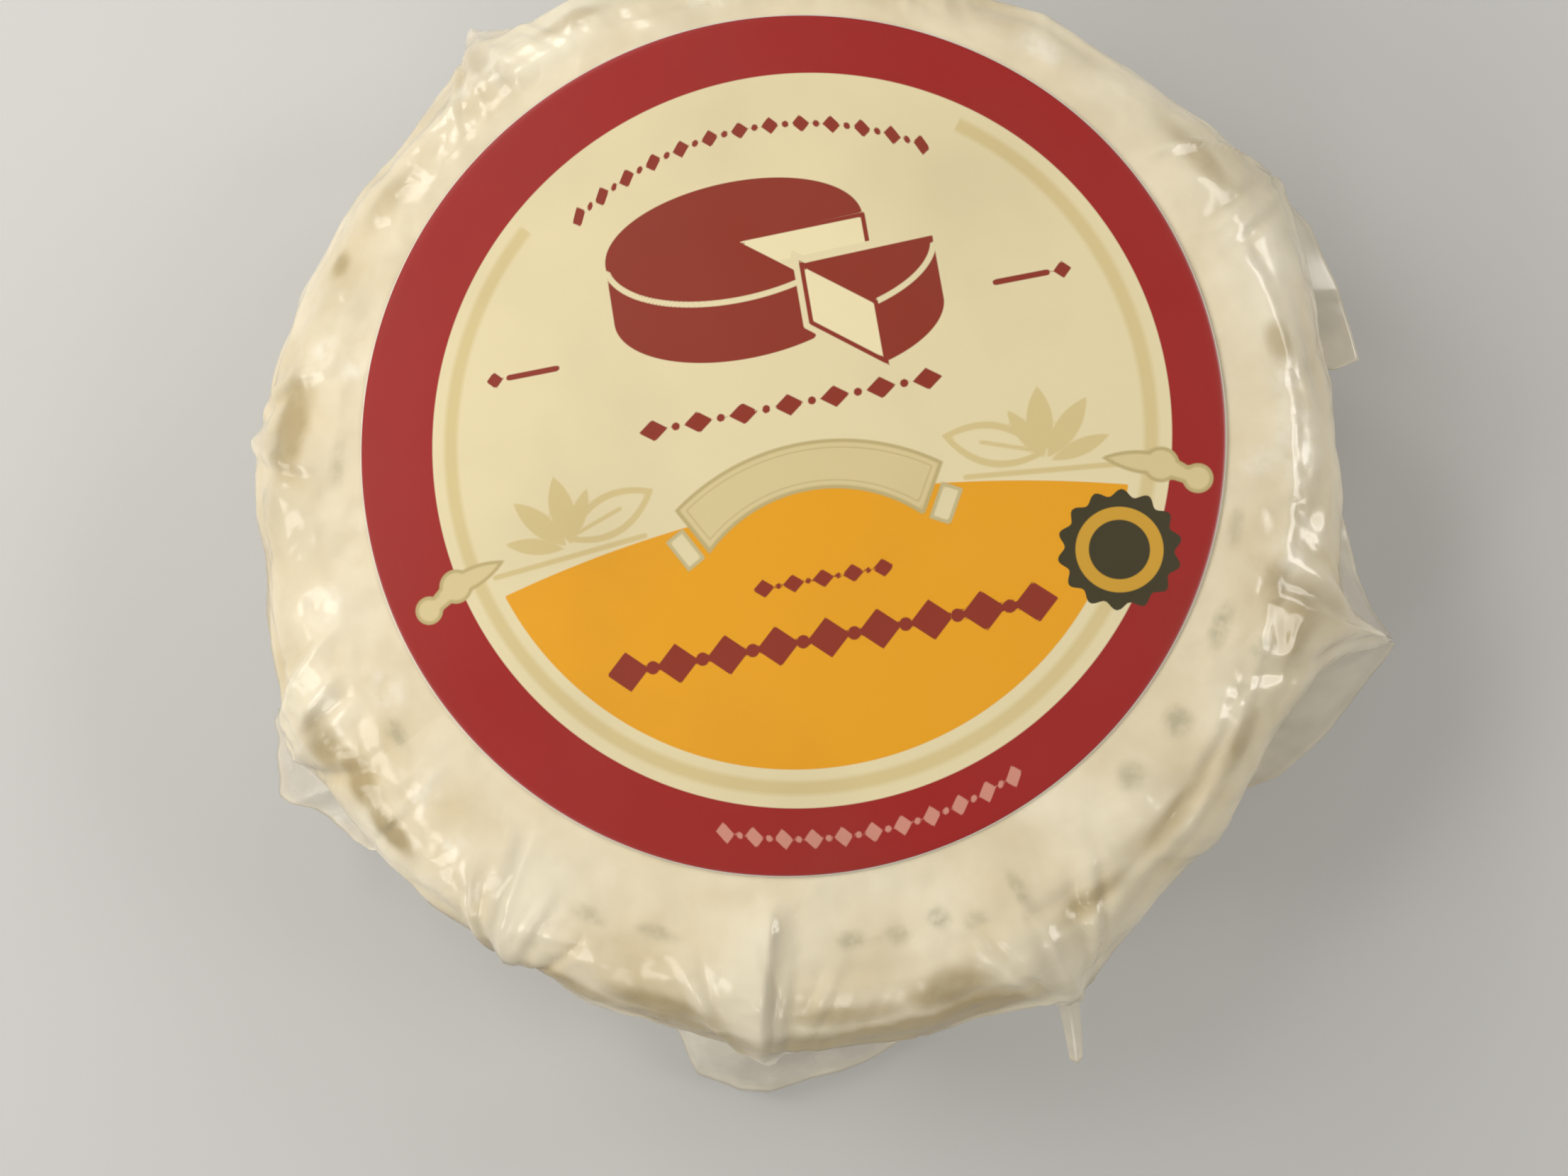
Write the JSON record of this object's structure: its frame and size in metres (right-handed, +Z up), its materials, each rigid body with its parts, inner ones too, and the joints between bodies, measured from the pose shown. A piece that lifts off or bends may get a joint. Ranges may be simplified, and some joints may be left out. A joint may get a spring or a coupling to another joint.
{
  "type": "film-wrapped wheel of camembert cheese",
  "caption": "Small round bloomy-rind cheese wheel in a glossy folded film wrapper, with a round printed paper label on its top face.",
  "frame": {"origin": "middle of the wrapper's flat underside, below the middle of the cheese", "axes": "+Z up through the label, +X to the right and +Y to the back as the label is read"},
  "size_m": [0.0907, 0.0892, 0.0257],
  "materials": {
    "rind": "soft white bloom with tan patches",
    "film": "glossy crinkled translucent film",
    "label": "coated printed paper"
  },
  "bodies": {
    "root": {"cheese": "rind", "wrapper": "film", "label": "label"}
  },
  "joints": []
}
